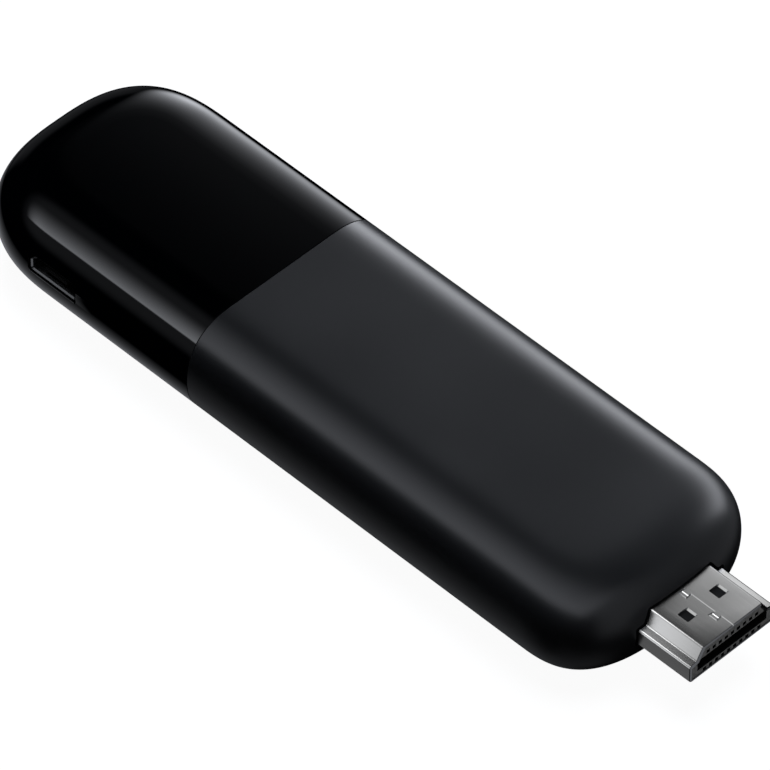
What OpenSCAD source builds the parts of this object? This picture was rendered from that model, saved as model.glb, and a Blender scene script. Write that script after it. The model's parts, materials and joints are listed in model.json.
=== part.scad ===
// Streaming media player in the form of a stick that plugs straight into a screen.
// X runs along the stick towards the plug, Z is up, and the stick lies on its flat underside.

/* [Housing] */
// Length of the housing without the plug
body_len = 105.4; // [104.5:0.1:108]
// Width of the housing
body_w = 31.7; // [31.5:0.1:34]
// Thickness of the housing
body_t = 14.9; // [14.8:0.1:15.6]
// Length of the glossy end cap
cap_len = 39.9; // [37:0.1:41]
// Wall thickness of the end cap and of the sleeve
wall = 1.5; // [1.3:0.1:1.6]
// How far in from the side the rounding of the long edges reaches
edge_run = 8.5; // [8:0.1:9]
// Length of the rounded stretch at the cap end
cap_round = 15.6; // [14:0.1:17]
// Length of the rounded stretch at the plug end
nose_round = 11.7; // [11:0.1:13]
// Length of the cap's spigot inside the sleeve
spigot_len = 5; // [4:0.5:6]
// Thickness of the cap's spigot
spigot_t = 0.9; // [0.8:0.1:1.1]

/* [Plug] */
// How far the plug stands out of the housing
plug_reach = 7.6; // [7.5:0.1:11]
// Width of the plug's wide side
plug_w = 13.9; // [13.8:0.05:14]
// Height of the plug
plug_h = 4.45; // [4.4:0.05:4.5]
// Width of the plug's narrow side
plug_narrow_w = 9.7; // [9.6:0.1:9.8]
// Height of the plug's underside above the table
plug_z = 5.8; // [5.7:0.1:5.9]
// Sheet thickness of the plug's shell
plug_sheet = 0.3; // [0.25:0.05:0.35]
// Spacing of the contacts in one row
contact_pitch = 1; // [1:0.01:1.02]

/* [Power socket] */
// Distance of the socket's centre from the cap end
socket_from_end = 16.9; // [16.5:0.1:18]
// Width of the socket's shell
socket_w = 7.5; // [7.4:0.05:7.6]
// Height of the socket's shell
socket_h = 2.45; // [2.4:0.05:2.5]
// Depth of the socket's shell
socket_depth = 5; // [4.8:0.1:5.2]
// How far the socket's mouth lies behind the housing's side
socket_recess = 0.3; // [0.2:0.1:0.5]

/* [Circuit board] */
// Length of the board
board_len = 93.5; // [92.5:0.1:93.8]
// Width of the board
board_w = 24.8; // [24.4:0.1:25]
// Thickness of the board
board_t = 1; // [0.9:0.1:1]
// Height of the parts between board and upper shield lid
fence_top_h = 1.7; // [1.6:0.1:1.8]
// Height of the parts between board and lower shield lid
fence_bottom_h = 1.5; // [1.4:0.1:1.6]

/* [Hidden] */

$fn = 32;
eps = 0.01;

// Places along the stick
total_len = body_len + plug_reach;
x_end = -total_len / 2;
x_seam = x_end + cap_len;
x_nose = x_end + body_len;
x_tip = total_len / 2;

// Shape of the rounded edges and ends, as exponents of their curves
edge_m = 2.1;
edge_k = 3;
end_q = 2.75;
side_steps = 24;
end_steps = 14;
// The rounded ends close on a small flat of this depth and half width
tip_flat = 0.02;
least_half_w = 0.05;
mid_z = body_t / 2;
inner_z0 = wall;
inner_z1 = body_t - wall;
// Free play between the spigot and the sleeve
spigot_play = 0.1;
spigot_root = 2;
// Snap wedges on the spigot, and the pockets that they click into
snap_w = 6;
snap_h = 0.5;
snap_x = x_seam + 1.2;
snap_len = 2.8;
snap_play = 0.3;

// Heights in the stack: the board lies across the middle of the plug
board_z0 = plug_z + plug_h / 2 - board_t / 2;
board_z1 = board_z0 + board_t;
board_x0 = x_end + 5;
board_x1 = board_x0 + board_len;
board_corner = 5;
lid_t = 0.2;
fence_t = 0.25;
pad_t = 1;
plate_t = 0.8;
lid_top_z = board_z1 + fence_top_h;
plate_top_z = lid_top_z + lid_t + pad_t;
lid_bottom_z = board_z0 - fence_bottom_h - lid_t;
plate_bottom_z = lid_bottom_z - pad_t - plate_t;

// Carrier tray, and the rails inside the sleeve that it slides between
tray_z0 = inner_z0 + 1.15;
tray_t = 1;
tray_x0 = x_end + 11;
tray_x1 = board_x1 - 7;
tray_mid = (tray_x0 + tray_x1) / 2;
tray_len = tray_x1 - tray_x0;
tray_wall_y = 12;
boss_r = 1.4;
pin_r = 0.8;
pin_places = [-11.4, 11.4];
pin_y = 7.6;
rib_y = 8.2;
rail_y = 5;
rail_w = 1.2;
rail_play = 0.05;
screw_x = [x_seam - 14.6, x_seam + 46.6];
screw_y = 10.6;
screw_r = 0.7;

// Shield cans, as centre and size in X and Y
shield_top = [x_seam + 20.6, 0, 36, 17.4];
shield_bottom = [x_seam + 23.6, 0, 27, 17.4];
radio_can_box = [x_seam - 8.6, 0, 13.4, 13.4];
radio_can_h = 2;
crossbar_t = 0.3;

// Plug
plug_depth = 13.3;
plug_x0 = x_tip - plug_depth;
plug_mid_z = plug_z + 1.95;
plug_slot_w = 11.4;
plug_slot_h = 1.6;
plug_side_h = 2.53;
plug_ledge_h = 2.8;
plug_ledge_w = 11.66;
plug_clear = 0.3;
lower_count = 10;
upper_count = 9;
row_offset = 1.29;
blade_w = 0.3;
blade_t = 0.2;
groove = 0.48;
window_x = 4.85;
window_y = 2.58;
window_len = 1.6;
window_w = 1.35;

// Chips, as size in X, Y and Z, and their places along the board
processor_size = [14, 14, 1.2];
memory_size = [8, 12, 1];
flash_size = [11.5, 13, 1];
power_size = [5, 5, 0.9];
processor_x = shield_top[0] - 1;
memory_top_x = shield_top[0] + 12;
power_x = shield_top[0] - 13;
memory_bottom_x = shield_bottom[0] + 7.5;
flash_x = shield_bottom[0] - 5;
chip_base = 0.35;
chip_step = 0.3;
radio_board = [14, 14, 0.5];
// Place of the passive parts between the upper shield and the plug
passives_x = shield_top[0] + 21;

// Socket
socket_x = x_end + socket_from_end;
socket_y0 = -body_w / 2 + socket_recess;
socket_mid_z = board_z0 + board_t / 2;
socket_sheet = 0.25;
socket_clear = 0.3;
socket_chamfer = 0.9;

gloss_black = [0.02, 0.02, 0.022];
matte_black = [0.13, 0.135, 0.14];
steel = [0.72, 0.73, 0.75];
gold = [0.83, 0.68, 0.36];
chip_black = [0.08, 0.08, 0.09];
board_green = [0.05, 0.25, 0.14];
pad_grey = [0.55, 0.6, 0.68];
aluminium = [0.78, 0.79, 0.8];
tray_grey = [0.2, 0.2, 0.21];

// ---------- outline of the housing ----------

// How far the side is drawn in at height t, where t runs from -1 at the bottom to 1 at the top.
function edge_inset(t, run) = run * (1 - pow(1 - pow(abs(t), edge_m), 1 / edge_k));

// Highest t that the body still reaches at the distance d from its end.
function t_limit(d, run) = d >= run ? 1 : pow(1 - pow(1 - d / run, edge_k), 1 / edge_m);

// Share of the full width left at the distance d from the end.
function end_share(d, round_len, ins) =
    let(u = min(1, max(0, (round_len - d) / (round_len - ins))))
    pow(max(0, 1 - pow(u, end_q)), 1 / end_q);

// One cross-section of the housing, drawn in by off, at the distance d from its rounded end.
function section(x, d, off, round_len) =
    let(
        run = edge_run - off,
        limit = t_limit(d, run),
        half = [
            for (i = [0:side_steps])
                let(
                    t = limit * sin(180 * i / side_steps - 90),
                    ins = edge_inset(t, run),
                    y = (body_w / 2 - off - ins) * end_share(d, round_len - off, ins)
                )
                [max(least_half_w, y), mid_z + (body_t / 2 - off) * t]
        ]
    )
    concat(
        [for (i = [0:side_steps]) [x, half[i][0], half[i][1]]],
        [for (i = [side_steps:-1:0]) [x, -half[i][0], half[i][1]]]
    );

// Cross-sections of one rounded end, from its tip inwards. dir is 1 at the cap end, -1 at the nose.
function end_sections(x_from, dir, off, round_len) = [
    for (i = [0:end_steps])
        let(d = max(tip_flat, (round_len - off) * (1 - cos(90 * i / end_steps))))
        section(x_from + dir * (off + (i == 0 ? 0 : d)), d, off, round_len)
];

function flat_section(x, off) = section(x, body_len, off, cap_round);

function reversed(list) = [for (i = [len(list) - 1:-1:0]) list[i]];

// A closed solid through a list of cross-sections, with a flat face on the first and the last.
module skin(sections, flip) {
    m = len(sections[0]);
    last = (len(sections) - 1) * m;
    sides = [
        for (s = [0:len(sections) - 2], j = [0:m - 1])
            let(a = s * m + j, b = s * m + (j + 1) % m)
            each [[a, b, b + m], [a, b + m, a + m]]
    ];
    ends = [[for (j = [m - 1:-1:0]) j], [for (j = [0:m - 1]) last + j]];
    faces = concat(sides, ends);
    polyhedron(
        points = [for (s = sections) each s],
        faces = flip ? [for (f = faces) reversed(f)] : faces
    );
}

// ---------- helpers ----------

// Extrudes a profile drawn in Y and Z from x0 to x1.
module along_x(x0, x1) {
    translate([x0, 0, 0]) rotate([90, 0, 90]) linear_extrude(x1 - x0) children();
}

// Extrudes a profile drawn in X and Z from y0 down to y1.
module along_y(y0, y1) {
    translate([0, y0, 0]) rotate([90, 0, 0]) linear_extrude(y0 - y1) children();
}

// A box that stands on z, centred on x and y.
module block(x, y, z, size) {
    translate([x - size[0] / 2, y - size[1] / 2, z]) cube(size);
}

// A frame of thin upright walls around box = [x, y, length, width].
module wall_frame(box, z, h, t) {
    difference() {
        block(box[0], box[1], z, [box[2], box[3], h]);
        block(box[0], box[1], z - 1, [box[2] - 2 * t, box[3] - 2 * t, h + 2]);
    }
}

// The plug's D-shaped profile, grown outwards by g.
module plug_profile(g) {
    w = plug_w / 2 + g;
    ledge = plug_ledge_w / 2 + g;
    narrow = plug_narrow_w / 2 + g;
    polygon([
        [-w, plug_z - g], [w, plug_z - g], [w, plug_z + plug_side_h + g],
        [ledge, plug_z + plug_ledge_h + g], [narrow, plug_z + plug_h + g],
        [-narrow, plug_z + plug_h + g], [-ledge, plug_z + plug_ledge_h + g],
        [-w, plug_z + plug_side_h + g]
    ]);
}

// The socket's profile with its wide side down, grown outwards by g.
module socket_profile(g) {
    w = socket_w / 2 + g;
    z0 = socket_mid_z - socket_h / 2 - g;
    z1 = socket_mid_z + socket_h / 2 + g;
    c = socket_chamfer;
    translate([socket_x, 0]) polygon([
        [-w, z0], [w, z0], [w, z1 - c - g], [w - c, z1], [c - w, z1], [-w, z1 - c - g]
    ]);
}

// ---------- housing ----------

// Inner and outer walls of the cap in one run: tip, rim, spigot, and back inside to the tip.
module cap_skin() {
    spigot = wall + spigot_play;
    inside = spigot + spigot_t;
    skin(concat(
        end_sections(x_end, 1, 0, cap_round),
        [
            flat_section(x_seam, 0),
            flat_section(x_seam, spigot),
            flat_section(x_seam + spigot_len, spigot),
            flat_section(x_seam + spigot_len, inside),
            flat_section(x_seam - spigot_root, inside),
            flat_section(x_seam - 2 * spigot_root, wall)
        ],
        reversed(end_sections(x_end, 1, wall, cap_round))
    ), true);
}

// Puts its children at the top of the housing and, mirrored, at the bottom.
module top_and_bottom() {
    translate([0, 0, mid_z]) for (s = [0, 1]) mirror([0, 0, s]) children();
}

// Wedges that stand up out of the spigot and click into the sleeve's pockets.
module snap_wedges() {
    lip = 0.6;
    root = body_t / 2 - wall - spigot_play - spigot_t / 2;
    top = body_t / 2 - wall + snap_h;
    top_and_bottom() along_y(snap_w / 2, -snap_w / 2) polygon([
        [snap_x, root], [snap_x, top], [snap_x + lip, top],
        [snap_x + snap_len, top - snap_h - spigot_play], [snap_x + snap_len, root]
    ]);
}

module snap_pockets() {
    floor_z = body_t / 2 - wall;
    top_and_bottom() block(snap_x + snap_len / 2, 0, floor_z - 1,
        [snap_len + 2 * snap_play, snap_w + 2 * snap_play, 1 + snap_h + 0.1]);
}

module gloss_end_cap() {
    color(gloss_black) {
        difference() {
            union() {
                cap_skin();
                snap_wedges();
            }
            along_y(-body_w / 4, -body_w) socket_profile(socket_clear);
        }
    }
}

// Outer and inner walls of the sleeve in one run: nose, rim, and back inside to the nose.
module sleeve_skin() {
    skin(concat(
        end_sections(x_nose, -1, 0, nose_round),
        [flat_section(x_seam, 0), flat_section(x_seam, wall)],
        reversed(end_sections(x_nose, -1, wall, nose_round))
    ), false);
}

module sleeve_rails() {
    root = 0.3;
    x0 = x_seam + spigot_len + 2;
    len_x = tray_x1 - x0;
    x = x0 + len_x / 2;
    roof_z = plate_top_z + plate_t + rail_play;
    for (y = [-rail_y, rail_y]) {
        block(x, y, inner_z0 - root, [len_x, rail_w, tray_z0 - rail_play - inner_z0 + root]);
        block(x, y, roof_z, [len_x, rail_w, inner_z1 + root - roof_z]);
    }
}

module matte_sleeve() {
    color(matte_black) {
        difference() {
            union() {
                sleeve_skin();
                sleeve_rails();
            }
            along_x(x_nose - 2 * nose_round / 3, x_nose + 1) plug_profile(plug_clear);
            snap_pockets();
        }
    }
}

// ---------- carrier and board ----------

module screw_places() {
    for (x = screw_x, y = [-screw_y, screw_y]) translate([x, y, 0]) children();
}

// Cross-section of the tray: a floor and two side walls with round lower corners.
module tray_profile() {
    corner_y = 3.1;
    corner_z = 2.1;
    corner_steps = 4;
    inner_corner = 0.8;
    wall_y = tray_wall_y - tray_t;
    floor_z = tray_z0 + tray_t;
    outer = [
        for (i = [0:corner_steps])
            let(a = 90 * i / corner_steps)
            [tray_wall_y - corner_y * (1 - sin(a)), tray_z0 + corner_z * (1 - cos(a))]
    ];
    inner = [
        [tray_wall_y, board_z0], [wall_y, board_z0], [wall_y, floor_z + inner_corner],
        [wall_y - inner_corner, floor_z], [0, floor_z]
    ];
    half = concat(outer, inner);
    mirrored = [for (i = [len(half) - 2:-1:0]) [-half[i][0], half[i][1]]];
    polygon(concat(half, mirrored));
}

module tray_windows() {
    window = [11.5, 13, tray_t + 2];
    pitch = 15;
    for (i = [-2:2]) block(tray_mid + i * pitch, 0, tray_z0 - 1, window);
}

module inner_carrier() {
    socket_gap = [socket_w + 3, 4, body_t];
    rib_w = 1.2;
    screw_floor = tray_z0 + 1.2;
    boss_z0 = tray_z0 + tray_t - eps;
    color(tray_grey) difference() {
        union() {
            difference() {
                along_x(tray_x0, tray_x1) tray_profile();
                tray_windows();
            }
            screw_places() translate([0, 0, boss_z0]) cylinder(r = boss_r, h = board_z0 - boss_z0);
            for (x = pin_places)
                translate([shield_bottom[0] + x, pin_y, tray_z0 + eps])
                    cylinder(r = pin_r, h = plate_bottom_z + plate_t - tray_z0);
            for (y = [-rib_y, rib_y])
                block(tray_mid, y, tray_z0 + eps, [tray_len, rib_w, plate_bottom_z - tray_z0 - eps]);
        }
        screw_places() translate([0, 0, screw_floor]) cylinder(r = screw_r, h = body_t);
        block(socket_x, -tray_wall_y, tray_z0 + tray_t, socket_gap);
    }
}

module main_board() {
    hole_r = screw_r + 0.2;
    notch = 0.15;
    color(board_green) difference() {
        union() {
            translate([board_x0 + board_corner, -board_w / 2, board_z0])
                cube([board_len - board_corner, board_w, board_t]);
            translate([board_x0, -board_w / 2 + board_corner, board_z0])
                cube([board_corner + 1, board_w - 2 * board_corner, board_t]);
            for (y = [-1, 1])
                translate([board_x0 + board_corner, y * (board_w / 2 - board_corner), board_z0])
                    cylinder(r = board_corner, h = board_t);
        }
        screw_places() translate([0, 0, board_z0 - 1]) cylinder(r = hole_r, h = board_t + 2);
        translate([socket_x - socket_w / 2 - notch, -board_w, board_z0 - 1])
            cube([socket_w + 2 * notch, board_w + socket_y0 + socket_depth + notch, board_t + 2]);
    }
}

// ---------- plug ----------

// Two latch windows in the upper sheet and two in the lower one.
module plug_windows() {
    for (z = [plug_z, plug_z + plug_h], y = [-window_y, window_y])
        block(x_tip - window_x, y, z - 2 * plug_sheet, [window_len, window_w, 4 * plug_sheet]);
}

module hdmi_plug_shell() {
    color(steel) difference() {
        along_x(plug_x0, x_tip) plug_profile(0);
        along_x(plug_x0 - 1, x_tip + 1) plug_profile(-plug_sheet);
        plug_windows();
    }
}

// Places of the contacts across a row of n.
function row_y(n) = [for (i = [0:n - 1]) (i - (n - 1) / 2) * contact_pitch];

// Grooves for one row: open to the slot behind a front web, and a square hole through the web.
module contact_grooves(n, side) {
    web = 1;
    z = plug_mid_z + side * row_offset;
    bridge = row_offset - plug_slot_h / 2 + 0.1;
    bridge_z = side > 0 ? z - bridge : z;
    for (y = row_y(n)) {
        block(x_tip - plug_depth / 2, y, z - groove / 2, [plug_depth + 2, groove, groove]);
        block(x_tip - web - plug_depth / 2, y, bridge_z, [plug_depth, groove, bridge]);
    }
}

module hdmi_plug_insulator() {
    slot_depth = 9;
    play = 0.03;
    front = x_tip - 0.1;
    color(chip_black) difference() {
        along_x(plug_x0 + 0.2, front) plug_profile(-plug_sheet - play);
        block(front - slot_depth / 2 + 1, 0, plug_mid_z - plug_slot_h / 2,
            [slot_depth + 2, plug_slot_w, plug_slot_h]);
        contact_grooves(lower_count, -1);
        contact_grooves(upper_count, 1);
    }
}

// One row of contacts: a straight blade, a raised touch point in the slot and a tail on the board.
module contact_row(n, side) {
    z = plug_mid_z + side * row_offset;
    tail = side > 0 ? board_z1 : board_z0 - blade_t;
    tip = x_tip - 0.7;
    touch_x = tip - 3.2;
    touch_h = 0.45;
    touch_run = 1;
    low = z - blade_t / 2;
    high = z + blade_t / 2;
    slot_face = side > 0 ? low : high;
    rear = plug_x0 - 0.3;
    tail_x1 = rear - 1;
    tail_x0 = rear - 4;
    touch = [
        [touch_x - touch_run, slot_face], [touch_x, slot_face - side * touch_h],
        [touch_x + touch_run, slot_face]
    ];
    for (y = row_y(n)) translate([0, y + blade_w / 2, 0]) along_y(0, -blade_w) polygon(concat(
        side > 0 ? [
            [tip, low], [tip, high], [rear, high], [tail_x1, tail + blade_t],
            [tail_x0, tail + blade_t], [tail_x0, tail], [tail_x1, tail], [rear, low]
        ] : [
            [tip, high], [tip, low], [rear, low], [tail_x1, tail], [tail_x0, tail],
            [tail_x0, tail + blade_t], [tail_x1, tail + blade_t], [rear, high]
        ],
        touch
    ));
}

module hdmi_contacts_upper() {
    color(gold) contact_row(upper_count, 1);
}

module hdmi_contacts_lower() {
    color(gold) contact_row(lower_count, -1);
}

// Stamped strap over the back of the plug, with two feet soldered to the board.
module hdmi_plug_bracket() {
    t = 0.3;
    y0 = plug_w / 2 + 0.05;
    z1 = plug_z + plug_h;
    strap_x0 = plug_x0 + 0.2;
    strap_x1 = plug_x0 + 2.4;
    leg = [4.2, t, z1 + t - board_z1];
    foot = [2, 2 + t, t];
    leg_x0 = strap_x0 + 0.1 - leg[0];
    color(steel) {
        along_x(strap_x0, strap_x1) polygon([
            [-y0 - t, board_z0], [-y0, board_z0], [-y0, z1], [y0, z1],
            [y0, board_z0], [y0 + t, board_z0], [y0 + t, z1 + t], [-y0 - t, z1 + t]
        ]);
        for (s = [-1, 1]) {
            block(leg_x0 + leg[0] / 2, s * (y0 + t / 2), board_z1, leg);
            block(leg_x0 + foot[0] / 2, s * (y0 + t + 1), board_z1, foot);
        }
    }
}

// ---------- power socket ----------

module micro_usb_shell() {
    back = socket_y0 + socket_depth;
    ear = 1.5;
    color(steel) {
        difference() {
            along_y(back, socket_y0) socket_profile(0);
            along_y(back - socket_sheet, socket_y0 - 1) socket_profile(-socket_sheet);
        }
        for (s = [-1, 1])
            block(socket_x + s * (socket_w / 2 + 0.4), back - 0.6, board_z1, [ear, 1, socket_sheet]);
    }
}

module micro_usb_tongue() {
    back = socket_y0 + socket_depth - socket_sheet - 0.02;
    inner = socket_w / 2 - socket_sheet - 0.05;
    z0 = socket_mid_z - socket_h / 2 + socket_sheet + 0.05;
    root = [2 * inner, 1.2, socket_h / 2 - socket_sheet];
    tongue = [3.7, 4.2, 0.6];
    color(chip_black) union() {
        block(socket_x, back - root[1] / 2, z0, root);
        block(socket_x, back - tongue[1] / 2, z0 + 0.35, tongue);
    }
}

module micro_usb_contacts() {
    pitch = 0.65;
    strip = [0.3, 2.6, 0.12];
    z = socket_mid_z - socket_h / 2 + socket_sheet + 1.02;
    color(gold) for (i = [-2:2]) block(socket_x + i * pitch, socket_y0 + 2.3, z, strip);
}

// ---------- chips and passives ----------

// A ball-grid chip: a thin laminate with a moulded block and a small pin-one dimple.
module chip(x, y, z, size, up) {
    dimple_r = 0.4;
    dimple_in = 1.2;
    dimple_deep = 0.1;
    z0 = up ? z : z - size[2];
    face_z = up ? z0 + size[2] : z0;
    mould = [size[0] - 2 * chip_step, size[1] - 2 * chip_step, size[2] - chip_base];
    color(chip_black) difference() {
        union() {
            block(x, y, up ? z0 : z0 + size[2] - chip_base, [size[0], size[1], chip_base]);
            block(x, y, up ? z0 + chip_base : z0, mould);
        }
        translate([x - size[0] / 2 + dimple_in, y - size[1] / 2 + dimple_in, face_z - dimple_deep])
            cylinder(r = dimple_r, h = 2 * dimple_deep);
    }
}

module processor_chip() {
    chip(processor_x, 0, board_z1, processor_size, true);
}

module memory_chip_top() {
    chip(memory_top_x, 0, board_z1, memory_size, true);
}

module memory_chip_bottom() {
    chip(memory_bottom_x, 0, board_z0, memory_size, false);
}

module flash_chip() {
    chip(flash_x, 0, board_z0, flash_size, false);
}

module power_chip() {
    chip(power_x, 2, board_z1, power_size, true);
}

module radio_module() {
    color(board_green) block(radio_can_box[0], 0, board_z1, radio_board);
}

module radio_can() {
    z = board_z1 + radio_board[2];
    color(steel) {
        wall_frame(radio_can_box, z, radio_can_h - lid_t, fence_t);
        block(radio_can_box[0], 0, z + radio_can_h - lid_t, [radio_can_box[2], radio_can_box[3], lid_t]);
    }
}

// Crossbar between two chips, level with the top of its fence.
module crossbar(x, z, w) {
    block(x, 0, z, [w, shield_top[3] - 2 * fence_t, crossbar_t]);
}

module shield_fence_top() {
    bar_z = board_z1 + fence_top_h - crossbar_t;
    color(steel) {
        wall_frame(shield_top, board_z1, fence_top_h, fence_t);
        crossbar((power_x + power_size[0] / 2 + processor_x - processor_size[0] / 2) / 2, bar_z, 1.2);
        crossbar((processor_x + processor_size[0] / 2 + memory_top_x - memory_size[0] / 2) / 2, bar_z, 0.6);
    }
}

module shield_fence_bottom() {
    bar_z = board_z0 - fence_bottom_h;
    color(steel) {
        wall_frame(shield_bottom, bar_z, fence_bottom_h, fence_t);
        crossbar((flash_x + flash_size[0] / 2 + memory_bottom_x - memory_size[0] / 2) / 2, bar_z, 1);
    }
}

// A lid that lies on its fence, with a skirt outside it.
module lid(box, z, up) {
    skirt = 0.9;
    gap = 0.05;
    outer = [box[0], box[1], box[2] + 2 * (gap + lid_t), box[3] + 2 * (gap + lid_t)];
    color(steel) {
        block(box[0], box[1], z, [outer[2], outer[3], lid_t]);
        wall_frame(outer, up ? z - skirt : z + lid_t - eps, skirt + eps, lid_t);
    }
}

module shield_lid_top() {
    lid(shield_top, lid_top_z, true);
}

module shield_lid_bottom() {
    lid(shield_bottom, lid_bottom_z, false);
}

// Pads, as size in X and Y
module processor_thermal_pad() {
    size = [13, 13];
    z = board_z1 + processor_size[2];
    color(pad_grey) block(processor_x, 0, z, [size[0], size[1], lid_top_z - z]);
}

module thermal_pad_top() {
    size = [30, 15];
    color(pad_grey) block(shield_top[0], 0, lid_top_z + lid_t, [size[0], size[1], pad_t]);
}

module thermal_pad_bottom() {
    size = [22, 14];
    color(pad_grey) block(shield_bottom[0], 0, lid_bottom_z - pad_t, [size[0], size[1], pad_t]);
}

// Stamped plate with four feet that the screws hold down on the board.
module heat_spreader_top() {
    foot_w = 3.2;
    foot_reach = 3.6;
    x0 = screw_x[0] - foot_w / 2;
    x1 = screw_x[1] + foot_w / 2;
    plate_w = 18.4;
    color(aluminium) difference() {
        union() {
            translate([x0, -plate_w / 2, plate_top_z]) cube([x1 - x0, plate_w, plate_t]);
            for (x = screw_x, s = [-1, 1]) {
                block(x, s * (plate_w / 2 - plate_t / 2), board_z1,
                    [foot_w, plate_t, plate_top_z + plate_t / 2 - board_z1]);
                block(x, s * (plate_w / 2 + 1.4), board_z1, [foot_w, foot_reach, plate_t]);
            }
        }
        screw_places() translate([0, 0, board_z1 - 1]) cylinder(r = screw_r + 0.1, h = 2.5);
    }
}

module heat_spreader_bottom() {
    size = [30, 18.2];
    color(aluminium) difference() {
        block(shield_bottom[0], 0, plate_bottom_z, [size[0], size[1], plate_t]);
        for (x = pin_places)
            translate([shield_bottom[0] + x, pin_y, plate_bottom_z - 1])
                cylinder(r = pin_r + 0.1, h = plate_t + 2);
    }
}

// Pan-head screws with a cross recess.
module spreader_screws() {
    head_r = 1.3;
    head_h = 0.9;
    recess = [1.5, 0.35, 1];
    seat = board_z1 + plate_t;
    tip_z = tray_z0 + 2;
    color(steel) screw_places() difference() {
        union() {
            translate([0, 0, seat]) cylinder(r = head_r, h = head_h);
            translate([0, 0, tip_z]) cylinder(r = screw_r - 0.02, h = seat - tip_z + eps);
        }
        for (a = [0, 90]) rotate(a) block(0, 0, seat + head_h - recess[2] / 2, recess);
    }
}

// Stamped aerial: a raised plate on two legs, with an open slot.
module aerial(y_side) {
    t = 0.2;
    plate = [9, 7];
    slot = [7, 0.8];
    leg_w = 1.2;
    leg_y = 1.8;
    foot_len = 1.4;
    z = board_z1 + 2.6;
    x = board_x0 + 6.5;
    y = y_side * 5.6;
    x0 = x - plate[0] / 2;
    color(steel) {
        difference() {
            block(x, y, z, [plate[0], plate[1], t]);
            block(x + 1.5, y, z - 1, [slot[0], slot[1], 2 + t]);
        }
        for (dy = [-leg_y, leg_y]) {
            block(x0 + t / 2, y + dy, board_z1, [t, leg_w, z - board_z1 + eps]);
            block(x0 + foot_len / 2, y + dy, board_z1, [foot_len, leg_w, t]);
        }
    }
}

module antenna_main() {
    aerial(1);
}

module antenna_diversity() {
    aerial(-1);
}

module clock_crystal() {
    base = [3.2, 2.5, 0.5];
    lid = [2.8, 2.1, 0.25];
    y = 5;
    color(steel) {
        block(passives_x, y, board_z1, base);
        block(passives_x, y, board_z1 + base[2], lid);
    }
}

// Wound power coils in square moulded bodies, notched at both ends.
module power_inductors() {
    size = 4;
    height = 1.8;
    pitch = 4.9;
    notch = [1.4, 0.6, height + 2];
    color([0.25, 0.25, 0.27]) for (i = [0:2])
        translate([passives_x - 0.4 + i * pitch, -5.5, board_z1]) difference() {
            block(0, 0, 0, [size, size, height]);
            for (s = [-1, 1]) block(0, s * size / 2, -1, notch);
        }
}

// Ceramic capacitors with metal end bands, in rows on both faces of the board.
module ceramic_capacitors() {
    size = [1.6, 0.8, 0.8];
    top_first = [passives_x + 3.6, 4.2];
    top_pitch = [2.2, 1.8];
    bottom_x = passives_x - 3;
    bottom_pitch = 2.6;
    bottom_y = 6;
    color([0.62, 0.5, 0.38]) {
        for (i = [0:3], j = [0:1])
            block(top_first[0] + i * top_pitch[0], top_first[1] + j * top_pitch[1], board_z1, size);
        for (i = [0:4], s = [-1, 1])
            block(bottom_x + i * bottom_pitch, s * bottom_y, board_z0 - size[2], size);
    }
}

module surge_protectors() {
    size = [1, 2.5, 0.5];
    pitch = 3;
    color(chip_black) for (i = [-1:1])
        block(plug_x0 - 5.6, i * pitch, board_z1, size);
}

gloss_end_cap();
matte_sleeve();
inner_carrier();
main_board();
hdmi_plug_shell();
hdmi_plug_insulator();
hdmi_contacts_upper();
hdmi_contacts_lower();
hdmi_plug_bracket();
micro_usb_shell();
micro_usb_tongue();
micro_usb_contacts();
processor_chip();
memory_chip_top();
memory_chip_bottom();
flash_chip();
power_chip();
radio_module();
radio_can();
shield_fence_top();
shield_lid_top();
shield_fence_bottom();
shield_lid_bottom();
processor_thermal_pad();
thermal_pad_top();
thermal_pad_bottom();
heat_spreader_top();
heat_spreader_bottom();
spreader_screws();
antenna_main();
antenna_diversity();
clock_crystal();
power_inductors();
ceramic_capacitors();
surge_protectors();
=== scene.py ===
"""The looks of a streaming media stick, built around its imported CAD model.

The glossy end cap, the matte sleeve, the sheets of the plug and of the power socket, and the row of
capacitors are rebuilt as fine meshes on the sizes of the CAD solids. Every other CAD part keeps its
mesh, with a small edge break, and gets the procedural material of its slot.
"""

import json
import math

import bmesh
import bpy
from mathutils import Matrix, Vector


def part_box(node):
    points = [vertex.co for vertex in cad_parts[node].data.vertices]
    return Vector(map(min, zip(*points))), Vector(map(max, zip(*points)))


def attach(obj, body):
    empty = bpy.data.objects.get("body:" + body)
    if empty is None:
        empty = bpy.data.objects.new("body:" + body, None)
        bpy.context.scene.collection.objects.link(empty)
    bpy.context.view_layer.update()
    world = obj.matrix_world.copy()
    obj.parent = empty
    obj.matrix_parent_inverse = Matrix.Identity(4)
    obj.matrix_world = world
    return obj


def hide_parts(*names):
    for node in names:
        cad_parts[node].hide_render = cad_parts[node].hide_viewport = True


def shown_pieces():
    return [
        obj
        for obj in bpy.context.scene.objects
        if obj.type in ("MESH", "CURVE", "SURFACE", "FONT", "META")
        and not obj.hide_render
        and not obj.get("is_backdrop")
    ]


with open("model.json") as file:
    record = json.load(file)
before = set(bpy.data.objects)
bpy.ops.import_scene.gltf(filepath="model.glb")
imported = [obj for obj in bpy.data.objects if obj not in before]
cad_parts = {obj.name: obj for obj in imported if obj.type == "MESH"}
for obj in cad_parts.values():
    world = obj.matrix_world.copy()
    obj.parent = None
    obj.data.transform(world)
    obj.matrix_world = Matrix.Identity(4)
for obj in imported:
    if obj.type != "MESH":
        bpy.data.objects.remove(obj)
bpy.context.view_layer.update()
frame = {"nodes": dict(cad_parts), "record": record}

NODES = frame["nodes"]
MM = 0.001

# ---------- sizes, taken from the CAD solids ----------

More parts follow.
